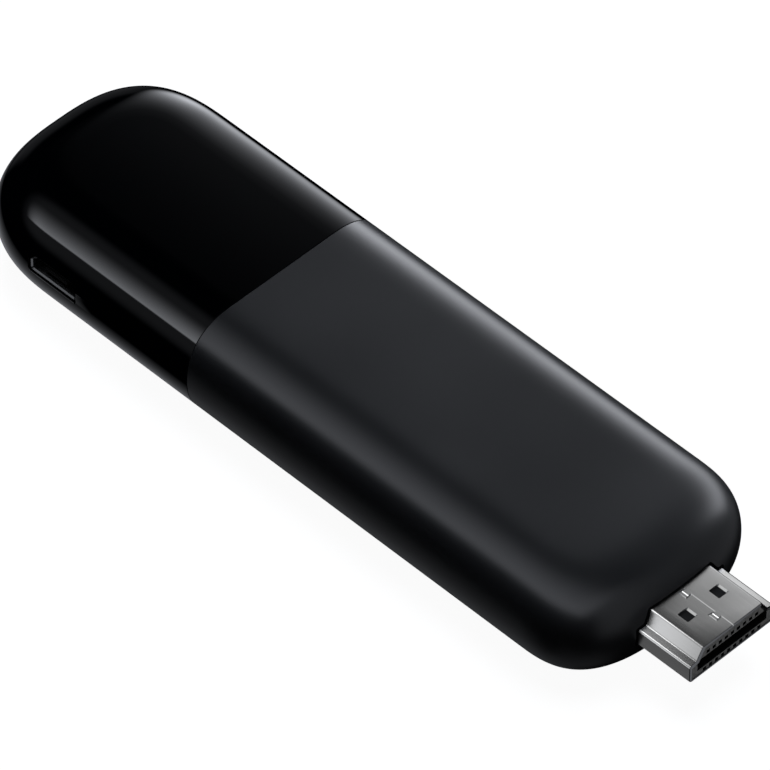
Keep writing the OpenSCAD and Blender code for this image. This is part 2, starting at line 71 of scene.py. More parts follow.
CAP_LO, CAP_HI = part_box("gloss_end_cap")
SLEEVE_LO, SLEEVE_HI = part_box("matte_sleeve")
PLUG_LO, PLUG_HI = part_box("hdmi_plug_shell")
SOCKET_LO, SOCKET_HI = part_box("micro_usb_shell")

X_END = CAP_LO.x
X_SEAM = SLEEVE_LO.x
X_NOSE = SLEEVE_HI.x
SPIGOT_END = CAP_HI.x
HALF_W = CAP_HI.y
HALF_T = CAP_HI.z / 2
MID_Z = HALF_T

# The housing's form: wall, roundings, and the exponents of their curves (edge in height and in
# depth, and the ends' plan), then the spigot's two offsets from the outside, and its snap wedges
WALL = 1.5 * MM
EDGE_RUN = 8.5 * MM
CAP_ROUND = 15.6 * MM
NOSE_ROUND = 11.7 * MM
EDGE_M = 2.1
EDGE_K = 3.0
END_Q = 2.75
SPIGOT_OFF = 1.6 * MM
SPIGOT_INSIDE = 2.5 * MM
SPIGOT_ROOT = 2 * MM
SEAM_CHAMFER = 0.07 * MM
SNAP_X = X_SEAM + 1.2 * MM
SNAP_LIP = 0.6 * MM
SNAP_LEN = 2.8 * MM
SNAP_W = 6 * MM
SNAP_H = 0.5 * MM
SNAP_PLAY = 0.3 * MM

# The plug's profile: heights above its underside, full widths, play, sheet and radius of its bends
PLUG_SIDE_H = 2.53 * MM
PLUG_LEDGE_H = 2.8 * MM
PLUG_LEDGE_W = 11.66 * MM
PLUG_NARROW_W = 9.7 * MM
PLUG_CLEAR = 0.3 * MM
PLUG_SHEET = 0.3 * MM
PLUG_BEND = 0.35 * MM
PLUG_LIP = 0.24 * MM
PLUG_HOLE_ROUND = 0.45 * MM

# The power socket's profile
SOCKET_SIZE = (7.5 * MM, 2.45 * MM)
SOCKET_CHAMFER = 0.9 * MM
SOCKET_CLEAR = 0.3 * MM
SOCKET_SHEET = 0.25 * MM
SOCKET_BEND = 0.3 * MM
SOCKET_HOLE_ROUND = 0.35 * MM
SOCKET_X = (SOCKET_LO.x + SOCKET_HI.x) / 2
SOCKET_Z = (SOCKET_LO.z + SOCKET_HI.z) / 2

# The plug's windows: distance behind the tip, distance from the middle, and size
WINDOW_BACK = 4.85 * MM
WINDOW_Y = 2.58 * MM
WINDOW_LEN = 1.6 * MM
WINDOW_W = 1.35 * MM
WINDOW_ROUND = 0.15 * MM
WINDOW_SLOPE = 0.22 * MM

# The plug's lengthwise seam and the two dovetail tabs that cross it
SEAM_Y = 0.02 * MM
TAB_REACH = 0.86 * MM
TAB_BACKS = (8.0 * MM, 3.2 * MM)
SEAM_DEPTH = 0.13 * MM
# A short crease across each tab
CREASE_Y = -0.4 * MM
CREASE_ENDS = (0.2 * MM, 1.2 * MM)
CREASE_DEPTH = 0.06 * MM

# Ribs in the sleeve that end just short of the carrier and of the upper heat spreader. The CAD's ribs
# stand nearer to the middle, 5 mm from it.
RAIL_Y = 8.2 * MM
RAIL_W = 1.2 * MM
RAIL_ROOT = 0.3 * MM
RAIL_PLAY = 0.05 * MM

BOARD_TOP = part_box("main_board")[1].z

# Chip capacitors: how far the body lies behind its metal ends, and the length of an end
CHIP_STEP = 0.03 * MM
CHIP_BAND = 0.35 * MM

WELD = 0.001 * MM

# Edges where faces meet at more than this many degrees stay sharp
HOUSING_SHARP = 35
SHEET_SHARP = 28
CHIP_SHARP = 40


# ---------- small mesh helpers ----------

def new_object(name, data):
    obj = bpy.data.objects.new(name, data)
    bpy.context.scene.collection.objects.link(obj)
    return obj


def mesh_from(name, verts, faces):
    mesh = bpy.data.meshes.new(name)
    mesh.from_pydata([tuple(v) for v in verts], [], faces)
    mesh.validate()
    bm = bmesh.new()
    bm.from_mesh(mesh)
    bmesh.ops.recalc_face_normals(bm, faces=bm.faces)
    bm.to_mesh(mesh)
    bm.free()
    return mesh


def smooth(obj, degrees):
    """Smooth shading with sharp edges where faces meet at more than this angle."""
    for poly in obj.data.polygons:
        poly.use_smooth = True
    obj.data.set_sharp_from_angle(angle=math.radians(degrees))


def apply_modifiers(obj):
    graph = bpy.context.evaluated_depsgraph_get()
    mesh = bpy.data.meshes.new_from_object(obj.evaluated_get(graph), depsgraph=graph)
    obj.modifiers.clear()
    obj.data = mesh


def combine(obj, other, operation):
    """Joins the other solid to obj or takes it out, and deletes it."""
    mod = obj.modifiers.new("combine", "BOOLEAN")
    mod.operation = operation
    mod.solver = "EXACT"
    mod.object = other
    apply_modifiers(obj)
    bpy.data.objects.remove(other)


def cut(obj, cutter):
    combine(obj, cutter, "DIFFERENCE")


def prism(name, rings):
    """A closed solid through a list of rings of points, which all have the same count."""
    count = len(rings[0])
    verts = [p for ring in rings for p in ring]
    faces = [list(range(count)), [len(verts) - 1 - i for i in range(count)]]
    for r in range(len(rings) - 1):
        for i in range(count):
            a, b = r * count + i, r * count + (i + 1) % count
            faces.append([a, b, b + count, a + count])
    return new_object(name, mesh_from(name, verts, faces))


# ---------- housing ----------

HEIGHT_STEPS = 64
END_STEPS = 72
FLAT_STEPS = 6


def edge_heights():
    """(height share, inset share) from the bottom flat to the top flat, along the rounded edge."""
    out = []
    for i in range(HEIGHT_STEPS + 1):
        angle = math.pi * (i / HEIGHT_STEPS - 0.5)
        s, c = math.sin(angle), max(0.0, math.cos(angle))
        out.append((math.copysign(abs(s) ** (2 / EDGE_M), s), 1 - c ** (2 / EDGE_K)))
    return out


def end_loop(x_end, way, off, round_len, x_open, height, inset):
    """One level line of a rounded end: from the open end along +Y, round the tip, and back along -Y."""
    ins = (EDGE_RUN - off) * inset
    z = MID_Z + (HALF_T - off) * height
    half_w = HALF_W - off - ins
    reach = round_len - off - ins
    x_round = x_end + way * round_len
    line = [(x_open + (x_round - x_open) * i / FLAT_STEPS, half_w, z) for i in range(FLAT_STEPS)]
    for i in range(END_STEPS + 1):
        angle = math.pi * i / END_STEPS
        c, s = math.cos(angle), math.sin(angle)
        y = math.copysign(abs(c) ** (2 / END_Q), c) * half_w
        line.append((x_round - way * reach * s ** (2 / END_Q), y, z))
    line += [(x, -y, z) for x, y, z in reversed(line[:FLAT_STEPS])]
    return line


def open_ring(x, off):
    """The straight housing's outline at x, drawn in by off, in the order of the level lines' ends."""
    left = [
        (x, HALF_W - off - (EDGE_RUN - off) * inset, MID_Z + (HALF_T - off) * height)
        for height, inset in edge_heights()
    ]
    return left + [(x, -y, z) for x, y, z in reversed(left)]


def cup(name, x_end, way, round_len, x_outer, rings, x_inner, inner_off):
    """A closed shell with one rounded end: outer skin, the rings of its rim, and inner skin."""
    verts, faces = [], []

    def skin(off, x_open):
        """Adds one skin and returns its open ring's vertex numbers."""
        first, lines = len(verts), edge_heights()
        for height, inset in lines:
            verts.extend(end_loop(x_end, way, off, round_len, x_open, height, inset))
        count = (len(verts) - first) // len(lines)
        for j in range(len(lines) - 1):
            for i in range(count - 1):
                a = first + j * count + i
                faces.append([a, a + 1, a + 1 + count, a + count])
        faces.append([first + i for i in range(count)])
        top = first + (len(lines) - 1) * count
        faces.append([top + count - 1 - i for i in range(count)])
        left = [first + j * count for j in range(len(lines))]
        return left + [first + j * count + count - 1 for j in reversed(range(len(lines)))]

    last = skin(0, x_outer)
    for ring in rings:
        nxt = [len(verts) + i for i in range(len(last))]
        verts.extend(ring)
        faces.extend(bridge(last, nxt))
        last = nxt
    faces.extend(bridge(last, skin(inner_off, x_inner)))
    return new_object(name, mesh_from(name, verts, faces))


def bridge(a, b):
    count = len(a)
    return [[a[i], a[(i + 1) % count], b[(i + 1) % count], b[i]] for i in range(count)]


def d_profile(grow, radius, steps=4):
    """The plug's outline in Y and Z with rounded corners, grown outwards by grow."""
    w = PLUG_HI.y + grow
    z0, z1 = PLUG_LO.z - grow, PLUG_HI.z + grow
    ledge_z, side_z = PLUG_LO.z + PLUG_LEDGE_H + grow, PLUG_LO.z + PLUG_SIDE_H + grow
    corners = [
        (-w, z0), (w, z0), (w, side_z), (PLUG_LEDGE_W / 2 + grow, ledge_z),
        (PLUG_NARROW_W / 2 + grow, z1), (-PLUG_NARROW_W / 2 - grow, z1),
        (-PLUG_LEDGE_W / 2 - grow, ledge_z), (-w, side_z),
    ]
    return round_corners(corners, radius, steps)


def round_corners(corners, radius, steps):
    """A closed outline with each corner turned into an arc of this radius."""
    out = []
    for i, here in enumerate(corners):
        p = Vector(here)
        a = (Vector(corners[i - 1]) - p).normalized()
        b = (Vector(corners[(i + 1) % len(corners)]) - p).normalized()
        half = a.angle(b) / 2
        reach = radius / math.tan(half)
        centre = p + (a + b).normalized() * (radius / math.sin(half))
        start, end = p + a * reach - centre, p + b * reach - centre
        turn = start.angle_signed(end)
        for k in range(steps + 1):
            out.append(centre + Matrix.Rotation(-turn * k / steps, 2) @ start)
    return out


def socket_outline(grow, radius, steps=4):
    """The power socket's outline in X and Z, wide side down, grown outwards by grow."""
    w = SOCKET_SIZE[0] / 2 + grow
    z0, z1 = SOCKET_Z - SOCKET_SIZE[1] / 2 - grow, SOCKET_Z + SOCKET_SIZE[1] / 2 + grow
    c = SOCKET_CHAMFER
    corners = [(-w, z0), (w, z0), (w, z1 - c - grow), (w - c, z1), (c - w, z1), (-w, z1 - c - grow)]
    return [Vector((SOCKET_X + p.x, p.y)) for p in round_corners(corners, radius, steps)]


def socket_cutter():
    """The opening for the power socket, with a rounded rim where it meets the housing's side."""
    side = -HALF_W
    # How much wider the opening is, and how far behind the housing's side (outside it, if negative)
    stations = ((0, HALF_W / 2), (0, 0.2 * MM), (0.02 * MM, 0.09 * MM), (0.07 * MM, 0.03 * MM),
                (0.16 * MM, 0), (1.2 * MM, -0.4 * MM))
    rings = []
    for grow, depth in stations:
        line = socket_outline(SOCKET_CLEAR + grow, SOCKET_HOLE_ROUND)
        rings.append([(p.x, side + depth, p.y) for p in line])
    return prism("socket_cutter", rings)


def nose_cutter():
    """The opening for the plug, from the sleeve's cavity to outside its nose."""
    line = d_profile(PLUG_CLEAR, PLUG_HOLE_ROUND)
    stations = (X_NOSE - 9 * MM, X_NOSE + MM)
    return prism("nose_cutter", [[(x, p.x, p.y) for p in line] for x in stations])


def snap_profile(root, top, grow):
    """A snap wedge in X and height above the middle, with its catch face towards the cap."""
    return [(SNAP_X - grow, root), (SNAP_X - grow, top), (SNAP_X + SNAP_LIP, top),
            (SNAP_X + SNAP_LEN + grow, top - SNAP_H), (SNAP_X + SNAP_LEN + grow, root)]


def snap_prisms(root, top, half_w, grow):
    """The two wedges, at the top and at the bottom of the housing."""
    found = []
    for side in (1, -1):
        line = snap_profile(root, top, grow)
        rings = [[(x, y, MID_Z + side * h) for x, h in line] for y in (-half_w, half_w)]
        found.append(prism("snap", rings))
    return found


def box_prism(name, lo, hi):
    rings = [[(x, lo.y, lo.z), (x, hi.y, lo.z), (x, hi.y, hi.z), (x, lo.y, hi.z)] for x in (lo.x, hi.x)]
    return prism(name, rings)


def add_rails(sleeve):
    """Four ribs along the inside, which end just short of the carrier and of the heat spreader."""
    tray_lo, tray_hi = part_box("inner_carrier")
    plate_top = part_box("heat_spreader_top")[1].z
    x0, x1 = SPIGOT_END + 2 * MM, tray_hi.x
    heights = ((WALL - RAIL_ROOT, tray_lo.z - RAIL_PLAY),
               (plate_top + RAIL_PLAY, 2 * HALF_T - WALL + RAIL_ROOT))
    for z0, z1 in heights:
        for y in (-RAIL_Y, RAIL_Y):
            lo, hi = Vector((x0, y - RAIL_W / 2, z0)), Vector((x1, y + RAIL_W / 2, z1))
            combine(sleeve, box_prism("rail", lo, hi), "UNION")


def make_cap(material):
    c = SEAM_CHAMFER
    rings = [
        open_ring(X_SEAM, c), open_ring(X_SEAM, SPIGOT_OFF), open_ring(SPIGOT_END, SPIGOT_OFF),
        open_ring(SPIGOT_END, SPIGOT_INSIDE), open_ring(X_SEAM - SPIGOT_ROOT, SPIGOT_INSIDE),
    ]
    cap = cup("end_cap", X_END, 1, CAP_ROUND, X_SEAM - c, rings, X_SEAM - 2 * SPIGOT_ROOT, WALL)
    cap.data.materials.append(material)
    for wedge in snap_prisms(HALF_T - 2 * MM, HALF_T - WALL + SNAP_H, SNAP_W / 2, 0):
        combine(cap, wedge, "UNION")
    cut(cap, socket_cutter())
    smooth(cap, HOUSING_SHARP)
    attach(cap, "root")
    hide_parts("gloss_end_cap")
    return cap


def make_sleeve(material):
    c = SEAM_CHAMFER
    rings = [open_ring(X_SEAM, c), open_ring(X_SEAM, WALL)]
    sleeve = cup("sleeve", X_NOSE, -1, NOSE_ROUND, X_SEAM + c, rings, X_SEAM + c, WALL)
    sleeve.data.materials.append(material)
    add_rails(sleeve)
    floor = HALF_T - WALL
    for pocket in snap_prisms(floor - MM, floor + SNAP_H + 0.1 * MM, SNAP_W / 2 + SNAP_PLAY, SNAP_PLAY):
        cut(sleeve, pocket)
    cut(sleeve, nose_cutter())
    smooth(sleeve, HOUSING_SHARP)
    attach(sleeve, "root")
    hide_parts("matte_sleeve")
    return sleeve


# ---------- plug and power socket ----------

def tube(name, rings):
    """A closed solid through a loop of rings: the last one joins the first."""
    count = len(rings[0])
    verts = [p for ring in rings for p in ring]
    faces = []
    for r in range(len(rings)):
        here = [r * count + i for i in range(count)]
        there = [(r + 1) % len(rings) * count + i for i in range(count)]
        faces += bridge(here, there)
    return new_object(name, mesh_from(name, verts, faces))


def window_cutter(x, y, way):
    """One of the plug's square windows: way is 1 on the top face and -1 on the bottom face."""
    face = PLUG_HI.z if way > 0 else PLUG_LO.z
    half_l, half_w, slope = WINDOW_LEN / 2, WINDOW_W / 2, WINDOW_SLOPE
    small = 0.05 * MM
    # Depth under the face, how much wider on the far side, and how much wider on the other sides
    levels = ((0.6 * MM, 0, 0), (slope, 0, 0), (0, slope, small), (-0.2 * MM, 2 * slope, small))
    rings = []
    for deep, out_far, out in levels:
        z = face - way * deep
        box = [(x - half_l - out, y - half_w - out), (x + half_l + out, y - half_w - out),
               (x + half_l + out, y + half_w + out_far), (x - half_l - out, y + half_w + out_far)]
        rings.append([(p.x, p.y, z) for p in round_corners(box, WINDOW_ROUND, 3)])
    return prism("window", rings)


def groove_cutter(path, deep):
    """A groove along (x, y) points on the plug's top face: steep on its right, sloping on its left."""
    section = ((-0.02 * MM, 0.02 * MM), (-0.01 * MM, -deep), (0.02 * MM, -deep), (0.17 * MM, 0.02 * MM))
    rings = []
    for i, here in enumerate(path):
        before = (Vector(here) - Vector(path[i - 1])).normalized() if i else None
        after = (Vector(path[i + 1]) - Vector(here)).normalized() if i < len(path) - 1 else None
        way = ((before or after) + (after or before)).normalized()
        side = Vector((-way.y, way.x))
        stretch = 1 / max(0.5, side.dot(Vector((-(before or after).y, (before or after).x))))
        rings.append([(here[0] + side.x * s * stretch, here[1] + side.y * s * stretch, PLUG_HI.z + z)
                      for s, z in section])
    return prism("groove", rings)


def seam_path():
    """The plug's dovetail seam: along the middle, with two tabs that reach across it."""
    points = [(PLUG_LO.x - MM, SEAM_Y)]
    for back in TAB_BACKS:
        for behind, y in ((back - 0.1 * MM, SEAM_Y), (back, -TAB_REACH),
                          (back - 1.4 * MM, -TAB_REACH), (back - 1.3 * MM, SEAM_Y)):
            points.append((PLUG_HI.x - behind, y))
    points.append((PLUG_HI.x + MM, SEAM_Y))
    return points


def make_plug_shell(material):
    """Folded sheet with round bends, a rounded front lip, four windows and the dovetail seam on top."""
    def ring(x, grow):
        return [(x, p.x, p.y) for p in d_profile(grow, max(0.06 * MM, PLUG_BEND + grow), 6)]

    inner_lip, steps = 0.05 * MM, 6
    rings = [ring(PLUG_LO.x, 0)]
    for i in range(steps + 1):
        a = math.pi / 2 * i / steps
        rings.append(ring(PLUG_HI.x - PLUG_LIP * (1 - math.sin(a)), PLUG_LIP * (math.cos(a) - 1)))
    rings += [ring(PLUG_HI.x - inner_lip, -PLUG_SHEET), ring(PLUG_LO.x, -PLUG_SHEET)]
    shell = tube("plug_shell", rings)
    shell.data.materials.append(material)
    for way in (1, -1):
        for y in (-WINDOW_Y, WINDOW_Y):
            cut(shell, window_cutter(PLUG_HI.x - WINDOW_BACK, y, way))
    cut(shell, groove_cutter(seam_path(), SEAM_DEPTH))
    for back in TAB_BACKS:
        ends = [(PLUG_HI.x - back + along, CREASE_Y) for along in CREASE_ENDS]
        cut(shell, groove_cutter(ends, CREASE_DEPTH))
    smooth(shell, SHEET_SHARP)
    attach(shell, "root")
    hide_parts("hdmi_plug_shell")
    return shell


def make_socket_shell(material):
    """The power socket's folded sheet: flared lips at its mouth, a closed back, two soldered ears."""
    mouth, back = SOCKET_LO.y, SOCKET_HI.y

    def ring(y, grow):
        return [(p.x, y, p.y) for p in socket_outline(grow, max(0.08 * MM, SOCKET_BEND + grow), 5)]

    # Places along the socket's depth, and how much the outline grows there
    outer = [(back, 0), (mouth + 0.5 * MM, 0), (mouth + 0.2 * MM, 0.03 * MM), (mouth + 0.05 * MM, 0.1 * MM),
             (mouth, 0.12 * MM)]
    inner = [(mouth, 0.05 * MM), (mouth + 0.15 * MM, -0.14 * MM), (mouth + 0.5 * MM, -SOCKET_SHEET),
             (back - SOCKET_SHEET, -SOCKET_SHEET)]
    shell = prism("socket_shell", [ring(*place) for place in outer + inner])
    for side in (-1, 1):
        x0 = SOCKET_X + side * (SOCKET_SIZE[0] / 2 - 0.2 * MM)
        x1 = SOCKET_LO.x if side < 0 else SOCKET_HI.x
        y0, y1, z = back - 1.1 * MM, back - 0.1 * MM, BOARD_TOP
        ear = prism("ear", [[(x, y0, z), (x, y1, z), (x, y1, z + SOCKET_SHEET), (x, y0, z + SOCKET_SHEET)]
                            for x in (x0, x1)])
        combine(shell, ear, "UNION")
    shell.data.materials.append(material)
    smooth(shell, SHEET_SHARP)
    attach(shell, "root")
    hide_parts("micro_usb_shell")
    return shell


# ---------- capacitors ----------

def islands(obj):
    """Lowest and highest corner of each separate solid in a CAD node."""
    bm = bmesh.new()
    bm.from_mesh(obj.data)
    bmesh.ops.remove_doubles(bm, verts=bm.verts, dist=WELD)
    found, seen = [], set()
    for start in bm.verts:
        if start in seen:
            continue
        group, stack = [], [start]
        seen.add(start)
        while stack:
            vert = stack.pop()
            group.append(vert.co.copy())
            for edge in vert.link_edges:
                other = edge.other_vert(vert)
                if other not in seen:
                    seen.add(other)
                    stack.append(other)
        lo = Vector(min(c[i] for c in group) for i in range(3))
        hi = Vector(max(c[i] for c in group) for i in range(3))
        found.append((lo, hi))
    bm.free()
    return found


def rounded_box(lo, hi, radius, steps=3):
    """Rings of a box along X with rounded long edges and ends."""
    rings = []
    for side, end in ((1, lo.x), (-1, hi.x)):
        part = []
        for i in range(steps + 1):
            a = math.pi / 2 * i / steps
            ins = radius * (1 - math.sin(a))
            x = end + side * radius * (1 - math.cos(a))
            box = [(lo.y + ins, lo.z + ins), (hi.y - ins, lo.z + ins), (hi.y - ins, hi.z - ins),
                   (lo.y + ins, hi.z - ins)]
            part.append([(x, p.x, p.y) for p in round_corners(box, radius, steps)])
        rings += part if side > 0 else part[::-1]
    return rings


def make_capacitors(ceramic, tin):
    """Each capacitor as a slightly slimmer ceramic body between two round-edged metal ends."""
    parts = []

    def add_part(name, lo, hi, material):
        part = prism(name, rounded_box(lo, hi, 2 * CHIP_STEP))
        part.data.materials.append(material)
        parts.append(part)

    step = Vector((CHIP_STEP, CHIP_STEP, CHIP_STEP))
    for lo, hi in islands(NODES["ceramic_capacitors"]):
        add_part("chip_body", lo + step, hi - step, ceramic)
        band = Vector((CHIP_BAND, hi.y - lo.y, hi.z - lo.z))
        for end in (lo, hi - band):
            add_part("chip_end", end, end + band, tin)
    joined = parts[0]
    with bpy.context.temp_override(active_object=joined, selected_editable_objects=parts):
        bpy.ops.object.join()
    joined.name = "chip_capacitors"
    smooth(joined, CHIP_SHARP)
    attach(joined, "root")
    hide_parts("ceramic_capacitors")


# ---------- materials ----------

def new_material(name):
    mat = bpy.data.materials.new(name)
    mat.use_nodes = True
    tree = mat.node_tree
    return mat, tree, tree.nodes["Principled BSDF"]


def add_node(tree, kind, **values):
    node = tree.nodes.new(kind)
    for key, value in values.items():
        if key in node.inputs:
            node.inputs[key].default_value = value
        else:
            setattr(node, key, value)
    return node


def object_noise(tree, scale, detail=4.0, stretch=(1, 1, 1)):
    """Noise in the object's own space, stretched along the axes."""
    coords = add_node(tree, "ShaderNodeTexCoord")
    mapping = add_node(tree, "ShaderNodeMapping", Scale=stretch)
    tree.links.new(coords.outputs["Object"], mapping.inputs["Vector"])
    noise = add_node(tree, "ShaderNodeTexNoise", Scale=scale, Detail=detail)
    tree.links.new(mapping.outputs["Vector"], noise.inputs["Vector"])
    return noise


def ramp(tree, source, low, high, at=(0.3, 0.7)):
    """Maps a grey value onto a range from low to high, which may be numbers or colours."""
    if isinstance(low, tuple):
        node = add_node(tree, "ShaderNodeValToRGB")
        for element, place, colour in zip(node.color_ramp.elements, at, (low, high)):
            element.position = place
            element.color = (*colour, 1)
        tree.links.new(source, node.inputs["Fac"])
        return node.outputs["Color"]
    node = add_node(tree, "ShaderNodeMapRange")
    for name, number in zip(("From Min", "From Max", "To Min", "To Max"), (*at, low, high)):
        node.inputs[name].default_value = number
    tree.links.new(source, node.inputs["Value"])
    return node.outputs["Result"]


def add_bump(tree, shader, height, strength, distance):
    bump = add_node(tree, "ShaderNodeBump", Strength=strength, Distance=distance)
    tree.links.new(height, bump.inputs["Height"])
    tree.links.new(bump.outputs["Normal"], shader.inputs["Normal"])


def add_relief(tree, shader, scale, detail, strength, distance, stretch=(1, 1, 1)):
    """A fine bump from a noise."""
    noise = object_noise(tree, scale, detail, stretch)
    add_bump(tree, shader, noise.outputs["Fac"], strength, distance)


def drift(name, low, high, rough, scale, detail=4.0, metallic=0.0, stretch=(1, 1, 1), relief=None):
    """A material whose colour and roughness drift between two values with a noise."""
    mat, tree, shader = new_material(name)
    noise = object_noise(tree, scale, detail, stretch)
    tree.links.new(ramp(tree, noise.outputs["Fac"], low, high), shader.inputs["Base Color"])
    tree.links.new(ramp(tree, noise.outputs["Fac"], *rough), shader.inputs["Roughness"])
    shader.inputs["Metallic"].default_value = metallic
    if relief:
        add_relief(tree, shader, **relief)
    return mat, tree, shader


# Fine lines left by drawing run along the axis with the small stretch
DRAWN = {"scale": 2500, "detail": 3, "metallic": 1.0,
         "relief": {"scale": 400, "detail": 5, "strength": 0.05, "distance": 0.01 * MM}}

DRIFTS = {
    "gloss_black_plastic": {
        "low": (0.0006, 0.0012, 0.0024), "high": (0.0010, 0.0018, 0.0032), "rough": (0.045, 0.06),
        "scale": 60, "detail": 3},
    # Charcoal plastic with a fine spark-eroded grain
    "matte_black_plastic": {
        "low": (0.0250, 0.0266, 0.0305), "high": (0.0270, 0.0286, 0.0327), "rough": (0.30, 0.35), "scale": 45,
        "relief": {"scale": 9000, "detail": 2, "strength": 0.12, "distance": 0.02 * MM}},
    "plug_steel": {
        "low": (0.60, 0.605, 0.61), "high": (0.64, 0.645, 0.65), "rough": (0.20, 0.24),
        "stretch": (0.04, 1, 1), **DRAWN},
    # Steel of the power socket: a darker copy of the plug's steel, as painted shade for the dark inside of
    # the socket's mouth
    "socket_steel": {
        "low": (0.30, 0.305, 0.31), "high": (0.36, 0.365, 0.37), "rough": (0.24, 0.32),
        "stretch": (1, 0.05, 1), **DRAWN},
    # Black glass-filled moulding, with short fibres just under its skin
    "connector_plastic": {
        "low": (0.010, 0.011, 0.012), "high": (0.020, 0.021, 0.023), "rough": (0.42, 0.55),
        "scale": 3000, "detail": 2, "stretch": (0.3, 1, 1),
        "relief": {"scale": 6000, "detail": 3, "strength": 0.25, "distance": 0.01 * MM}},
    "carrier_plastic": {
        "low": (0.042, 0.043, 0.046), "high": (0.052, 0.053, 0.057), "rough": (0.45, 0.55), "scale": 120},
    "contact_gold": {
        "low": (0.74, 0.54, 0.22), "high": (0.84, 0.64, 0.30), "rough": (0.22, 0.34),
        "scale": 900, "metallic": 1.0,
        "relief": {"scale": 6000, "detail": 2, "strength": 0.15, "distance": 0.005 * MM,
                   "stretch": (0.1, 1, 1)}},
    # Dark epoxy with filler grains, as left by the mould
    "chip_mould": {
        "low": (0.011, 0.011, 0.012), "high": (0.019, 0.019, 0.021), "rough": (0.5, 0.65),
        "scale": 2200, "detail": 5,
        "relief": {"scale": 7000, "detail": 3, "strength": 0.35, "distance": 0.01 * MM}},
    # Soft filled silicone, dusty, with shallow dents
    "thermal_pad": {
        "low": (0.24, 0.30, 0.39), "high": (0.30, 0.37, 0.46), "rough": (0.75, 0.9),
        "scale": 900, "detail": 5,
        "relief": {"scale": 260, "detail": 3, "strength": 0.5, "distance": 0.08 * MM}},
    # Blasted sheet
    "spreader_aluminium": {
        "low": (0.66, 0.67, 0.69), "high": (0.76, 0.77, 0.79), "rough": (0.36, 0.5),
        "scale": 250, "metallic": 1.0,
        "relief": {"scale": 6000, "detail": 3, "strength": 0.3, "distance": 0.015 * MM}},
    # Zinc plate with a faint haze and tool marks
    "screw_steel": {
        "low": (0.38, 0.39, 0.41), "high": (0.50, 0.51, 0.53), "rough": (0.24, 0.38),
        "scale": 1500, "metallic": 1.0,
        "relief": {"scale": 5000, "detail": 3, "strength": 0.2, "distance": 0.008 * MM,
                   "stretch": (1, 1, 0.1)}},
    # Pressed ferrite
    "coil_body": {
        "low": (0.030, 0.030, 0.033), "high": (0.050, 0.050, 0.054), "rough": (0.45, 0.65),
        "scale": 3500, "detail": 2,
        "relief": {"scale": 5000, "detail": 2, "strength": 0.4, "distance": 0.015 * MM}},
    "capacitor_ceramic": {
        "low": (0.30, 0.20, 0.12), "high": (0.38, 0.27, 0.17), "rough": (0.35, 0.5), "scale": 1800,
        "relief": {"scale": 5000, "detail": 3, "strength": 0.2, "distance": 0.008 * MM}},
}


def drifting(name):
    """A material of the table above."""
    return drift(name, **DRIFTS[name])[0]


def link_object_space(tree, texture):
    coords = add_node(tree, "ShaderNodeTexCoord")
    tree.links.new(coords.outputs["Object"], texture.inputs["Vector"])


def carrier_plastic(name):
    """Satin moulding with a pebbled texture."""
    mat, tree, shader = drift(name, **DRIFTS[name])
    pebble = add_node(tree, "ShaderNodeTexVoronoi", Scale=4500, feature="SMOOTH_F1")
    link_object_space(tree, pebble)
    add_bump(tree, shader, pebble.outputs["Distance"], 0.3, 0.02 * MM)
    return mat


def mix_colours(tree, factor, below, above):
    """Colour or socket below where the factor is 0, above where it is 1."""
    node = add_node(tree, "ShaderNodeMix", data_type="RGBA")
    tree.links.new(factor, node.inputs[0])
    for socket, value in ((node.inputs[6], below), (node.inputs[7], above)):
        if isinstance(value, tuple):
            socket.default_value = (*value, 1)
        else:
            tree.links.new(value, socket)
    return node.outputs[2]


def step_up(tree, value, start, end):
    """0 below start and 1 above end, in a straight line between."""
    return ramp(tree, value, 0.0, 1.0, (start, end))


def board_laminate(name):
    """Green solder mask over copper tracks, with tinned via rings and a trace of the glass weave."""
    mat, tree, shader = new_material(name)
    cloud = object_noise(tree, 150, 4)
    mask = ramp(tree, cloud.outputs["Fac"], (0.008, 0.060, 0.030), (0.012, 0.085, 0.042))
    bricks = add_node(tree, "ShaderNodeTexBrick", Scale=450.0, offset=0.37)
    bricks.inputs["Mortar Size"].default_value = 0.035
    for socket, grey in (("Color1", 0), ("Color2", 0), ("Mortar", 1)):
        bricks.inputs[socket].default_value = (grey, grey, grey, 1)
    link_object_space(tree, bricks)
    tracks = step_up(tree, bricks.outputs["Color"], 0.4, 0.6)
    copper = mix_colours(tree, tracks, mask, (0.020, 0.130, 0.060))
    vias = add_node(tree, "ShaderNodeTexVoronoi", Scale=420.0, feature="F1")
    link_object_space(tree, vias)
    tinned = step_up(tree, vias.outputs["Distance"], 0.14, 0.12)
    tree.links.new(mix_colours(tree, tinned, copper, (0.55, 0.53, 0.47)), shader.inputs["Base Color"])
    tree.links.new(ramp(tree, cloud.outputs["Fac"], 0.28, 0.40), shader.inputs["Roughness"])
    tree.links.new(tinned, shader.inputs["Metallic"])
    weave = add_node(tree, "ShaderNodeTexWave", Scale=900.0, Distortion=0.6)
    link_object_space(tree, weave)
    relief = maths(tree, "ADD", maths(tree, "MULTIPLY", weave.outputs["Fac"], 0.2), tracks)
    add_bump(tree, shader, relief, 0.5, 0.02 * MM)
    return mat


